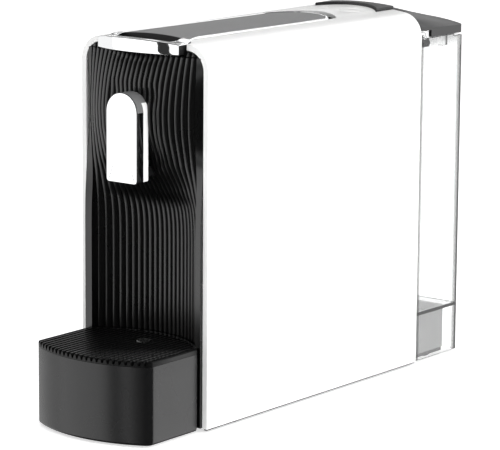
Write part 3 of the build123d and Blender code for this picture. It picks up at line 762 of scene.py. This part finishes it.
def tray():
    lo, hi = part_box("drip_tray")
    z0, z1 = lo.z / MM - B, hi.z / MM - B
    P = tray_plan()
    loops = []
    rb = 2.4
    loops.append(ring3(offset(P, -rb - 3), z0))
    for k in range(7):
        a = math.pi / 2 * k / 6
        loops.append(ring3(offset(P, -rb * (1 - math.sin(a))), z0 + rb * (1 - math.cos(a))))
    for z in (z0 + 15, z0 + 30, z0 + 45):
        loops.append(ring3(P, z))
    for i, d in fillet_steps(0.45, 3):
        loops.append(ring3(offset(P, -i), z1 - d))
    loops.append(ring3(offset(P, -1.9), z1))
    loops.append(ring3(offset(P, -2.2), z1 - 0.3))
    loops.append(ring3(offset(P, -2.2), z0 + 5.0))
    loops.append(ring3(offset(P, -3.2), z0 + 2.8))
    loops.append(ring3(offset(P, -5.4), z0 + 2.2))
    ob = loft("drip_tray_rounded", loops, [M["dark_grey"]], sharp=40.0)
    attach(ob, "tray")
    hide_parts("drip_tray")
    return ob


tray()
_fl, _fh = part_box("float_indicator")
FX, FY = (_fl.x + _fh.x) / 2 / MM, (_fl.y + _fh.y) / 2 / MM - F


def grid_top():
    lo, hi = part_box("cup_grid")
    z0, z1 = lo.z / MM - B, hi.z / MM - B
    P = tray_plan()
    x_, y_ = P[:, 0], P[:, 1]
    # front and rear y of the outline at each x
    xs = []
    for k in range(-12, 13):
        for f in (-0.5, -0.36, -0.24, -0.16, 0.0, 0.16, 0.24, 0.36):
            x = (k + f) * RIB
            if abs(x) < 49.4:
                xs.append(x)
    xs += [s * a for a in (49.6, 50.2, 50.8, 51.3, 51.7, 51.9, 52.0) for s in (-1, 1)]
    xs = sorted(set(round(x, 4) for x in xs))
    fm = y_ < -30
    order = np.argsort(x_[fm])
    fx, fy = x_[fm][order], y_[fm][order]
    rm = y_ > -4.5
    order = np.argsort(x_[rm])
    rx, ry = x_[rm][order], y_[rm][order]
    top, bot = [], []
    for x in xs:
        y0 = float(np.interp(x, fx, fy))
        y1 = float(np.interp(x, rx, ry))
        span = y1 - y0
        ds = [0, 0.25, 0.6, 1.1, 1.8, 2.6, 3.2, 3.6]
        n_in = int(round((span - 7.2) / 1.07))
        inner = [3.6 + (span - 7.2) * k / 66 for k in range(1, 66)]
        ds = ds + inner + [span - d for d in reversed(ds)]
        rt, rb = [], []
        for d in ds:
            y = y0 + d
            ph = (x / RIB) % 1.0
            ph = min(ph, 1 - ph)                     # 0 on a rib crest line, 0.5 between ribs
            rib = max(0.0, min(1.0, (ph - 0.17) / 0.14))
            ax = abs(x)
            depth = 0.0
            if ax < 49.5:
                cell = ((y + 200) / RIB) % 1.0
                cell = min(cell, 1 - cell)
                web = max(0.0, min(1.0, (cell - 0.12) / 0.16))
                if d < 2.9:
                    depth = 3.2 * rib
                elif d > span - 3.0:
                    depth = 0.0
                else:
                    depth = rib * (0.7 + 1.9 * web)
            # rounded front lip on the ribs and a chamfer along both sides
            lip = 0.9 * max(0.0, 1 - d / 1.1) ** 2 if d < span / 2 else 0.5 * max(0.0, 1 - (span - d) / 0.8) ** 2
            side = 1.1 * max(0.0, (ax - 50.6) / 1.4) ** 1.4
            rr = math.hypot(x - FX, y - FY)
            if rr < 7.6:
                depth = 0.15 if rr > 5.6 else 3.4
            z = z1 - max(depth, lip, side) if depth < 3 else z1 - depth
            rt.append((x, y, max(z, z0 + 0.3)))
            rb.append((x, y, z0))
        top.append(rt)
        bot.append(rb)
    ob = slab("cup_grid_ribbed", top, bot, [M["grid_black"]], 30.0)
    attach(ob, "grid")
    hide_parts("cup_grid")
    return ob


grid_top()


def float_cap():
    lo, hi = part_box("float_indicator")
    z0, z1 = lo.z / MM - B, hi.z / MM - B
    prof = [(0.5, z0), (2.3, z0), (2.5, z0 + 0.3), (2.5, 33.0), (8.6, 33.0), (9.0, 33.5), (9.0, 51.5), (8.6, 52.0), (5.0, 52.0), (5.0, z1 - 1.6)]
    for k in range(1, 7):
        a = math.pi / 2 * k / 6
        prof.append((5.0 - 1.6 * (1 - math.cos(a)), z1 - 1.6 + 1.6 * math.sin(a)))
    prof += [(2.2, z1), (1.6, z1 - 0.25), (0.3, z1 - 0.25)]
    ob = lathe("float_indicator_turned", (FX, FY), prof, [M["float_grey"]])
    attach(ob, "float")
    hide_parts("float_indicator")


float_cap()

# ---------------------------------------------------------------- carried-over nodes
for nm, wd in (("outer_shell", 0.5), ("rear_panel", 0.5), ("tank_lid", 0.9), ("tank_pedestal", 0.8), ("base_plate", 0.4),
               ("rubber_feet", 0.5), ("tray_feet", 0.4), ("cord_gland", 0.5), ("button_small_cup", 0.15), ("button_large_cup", 0.15),
               ("water_tank", 0.35), ("lid_catches", 0.4), ("coffee_nozzle", 0.3), ("capsule_bin", 0.6), ("lever_arms", 0.4),
               ("chassis", 0.4), ("top_deck", 0.4), ("capsule_funnel", 0.4), ("thermoblock", 0.6), ("pump_cradle", 0.5),
               ("extraction_head", 0.4), ("pull_links", 0.3), ("valve_cage", 0.2)):
    soften(nm, wd)


# ---------------------------------------------------------------- stage, light, camera
def emission(name, value, color=(1, 1, 1)):
    m = bpy.data.materials.new(name)
    m.use_nodes = True
    t = m.node_tree
    t.nodes.clear()
    e = t.nodes.new("ShaderNodeEmission")
    e.inputs["Color"].default_value = (*color, 1)
    e.inputs["Strength"].default_value = value
    o = t.nodes.new("ShaderNodeOutputMaterial")
    t.links.new(e.outputs["Emission"], o.inputs["Surface"])
    return m


def only_glossy(ob):
    ob.visible_camera = False
    ob.visible_diffuse = False
    ob.visible_transmission = False
    ob.visible_shadow = False
    ob.visible_volume_scatter = False
    ob.visible_glossy = True


def card(name, az0, az1, e0, e1, radius, value, n=24):
    """Curved panel round the object. Azimuth 0 is straight ahead of the machine, positive to its right; e0..e1 is elevation."""
    verts, faces = [], []
    for k in range(n + 1):
        a = math.radians(az0 + (az1 - az0) * k / n)
        for j in range(9):
            e = math.radians(e0 + (e1 - e0) * j / 8)
            verts.append((radius * math.sin(a) * math.cos(e), -radius * math.cos(a) * math.cos(e), 0.18 + radius * math.sin(e)))
    for k in range(n):
        for j in range(8):
            a = k * 9 + j
            faces.append((a, a + 9, a + 10, a + 1))
    me = bpy.data.meshes.new(name)
    me.from_pydata(verts, [], faces)
    me.materials.append(emission(name, value))
    ob = bpy.data.objects.new(name, me)
    bpy.context.scene.collection.objects.link(ob)
    only_glossy(ob)
    return ob


# floor: a wide pale sweep
fme = bpy.data.meshes.new("floor")
fme.from_pydata([(-30, -30, 0), (30, -30, 0), (30, 30, 0), (-30, 30, 0)], [], [(0, 1, 2, 3)])
floor = bpy.data.objects.new("floor", fme)
bpy.context.scene.collection.objects.link(floor)
fmat, ft, fb = shader("floor_white")
fb.inputs["Base Color"].default_value = (0.9, 0.9, 0.9, 1)
fb.inputs["Roughness"].default_value = 1.0
fb.inputs["Specular IOR Level"].default_value = 0.0
fb.inputs["Emission Color"].default_value = (1, 1, 1, 1)
fb.inputs["Emission Strength"].default_value = 0.62
fme.materials.append(fmat)
floor.visible_glossy = False

# reflections: a dark dome with soft panels in it, seen by glossy rays only
card("dome", -180, 180, -89, 89, 9.0, 0.035, 48)
card("panel_far_left", -155, -115, -40, 30, 4.6, 0.25)
card("panel_left", -115, -62, -40, 30, 4.5, 1.0)
card("panel_front_left", -62, -11.7, -40, 30, 4.4, 1.5)
card("strip_front", -0.7, 8, -40, 30, 4.4, 1.3)
card("panel_right", 125, 165, -40, 30, 4.5, 1.9)
card("panel_back", 166, 240, -10, 50, 4.6, 1.3)

world = bpy.data.worlds.new("studio")
bpy.context.scene.world = world
world.use_nodes = True
bg = world.node_tree.nodes["Background"]
bg.inputs["Color"].default_value = (1, 1, 1, 1)
bg.inputs["Strength"].default_value = 0.56


def area(name, loc, target, size, power):
    la = bpy.data.lights.new(name, "AREA")
    la.shape = "SQUARE"
    la.size = size
    la.energy = power
    ob = bpy.data.objects.new(name, la)
    ob.location = loc
    d = Vector(target) - Vector(loc)
    ob.rotation_euler = d.to_track_quat("-Z", "Y").to_euler()
    bpy.context.scene.collection.objects.link(ob)
    ob.visible_glossy = False
    return ob


area("key_right", (2.4, -0.3, 1.0), (0, 0, 0.12), 1.6, 40)
area("key_top", (0.3, 0.0, 2.6), (0, 0, 0.2), 1.8, 16)

cam_data = bpy.data.cameras.new("camera")
cam = bpy.data.objects.new("camera", cam_data)
bpy.context.scene.collection.objects.link(cam)
cam_data.sensor_fit = "HORIZONTAL"
cam_data.sensor_width = 36.0
cam_data.lens = 201.22
cam_data.clip_start, cam_data.clip_end = 0.05, 100.0
yaw, pitch, roll = math.radians(37.654), math.radians(11.04), math.radians(0.416)
fwd = Vector((-math.sin(yaw) * math.cos(pitch), math.cos(yaw) * math.cos(pitch), -math.sin(pitch)))
rt = Vector((math.cos(yaw), math.sin(yaw), 0))
up = rt.cross(fwd)
c, s = math.cos(roll), math.sin(roll)
r2, u2 = c * rt + s * up, -s * rt + c * up
cam.matrix_world = Matrix(((r2.x, u2.x, -fwd.x, 1.24228), (r2.y, u2.y, -fwd.y, -1.61308), (r2.z, u2.z, -fwd.z, 0.52098), (0, 0, 0, 1)))
bpy.context.scene.camera = cam
bpy.context.scene.view_settings.view_transform = "Standard"
